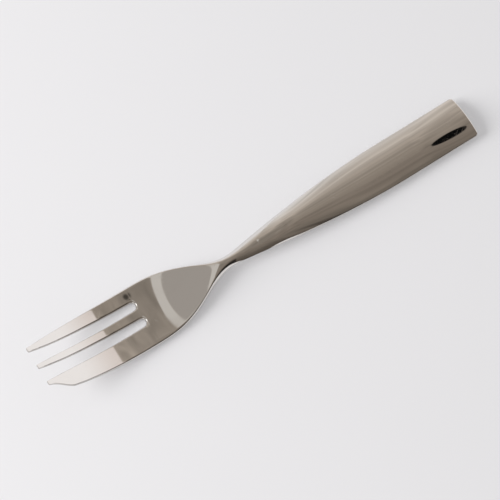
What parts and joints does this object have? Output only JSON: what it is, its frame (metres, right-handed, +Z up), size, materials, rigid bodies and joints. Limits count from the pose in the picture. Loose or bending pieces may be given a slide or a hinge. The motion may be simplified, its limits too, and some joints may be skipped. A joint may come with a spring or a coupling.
{
  "type": "dessert fork",
  "caption": "Polished steel dessert fork: a tined head with a notched cutting tine, and a hollow domed handle welded from an upper and a lower shell and filled with cement.",
  "frame": {"origin": "on the table below the middle of the fork's bounding box, with the fork lying tines up on its palm and the outer part of its handle", "axes": "+X from the tine tips to the end of the handle, -Y towards the notched cutting tine, +Z up from the table"},
  "size_m": [0.15, 0.02, 0.0095],
  "materials": {
    "head_steel": "polished",
    "shell_steel": "polished",
    "cement": "matte"
  },
  "bodies": {
    "root": {"fork_head": "head_steel", "upper_handle_shell": "shell_steel", "lower_handle_shell": "shell_steel", "handle_cement": "cement"}
  },
  "joints": []
}
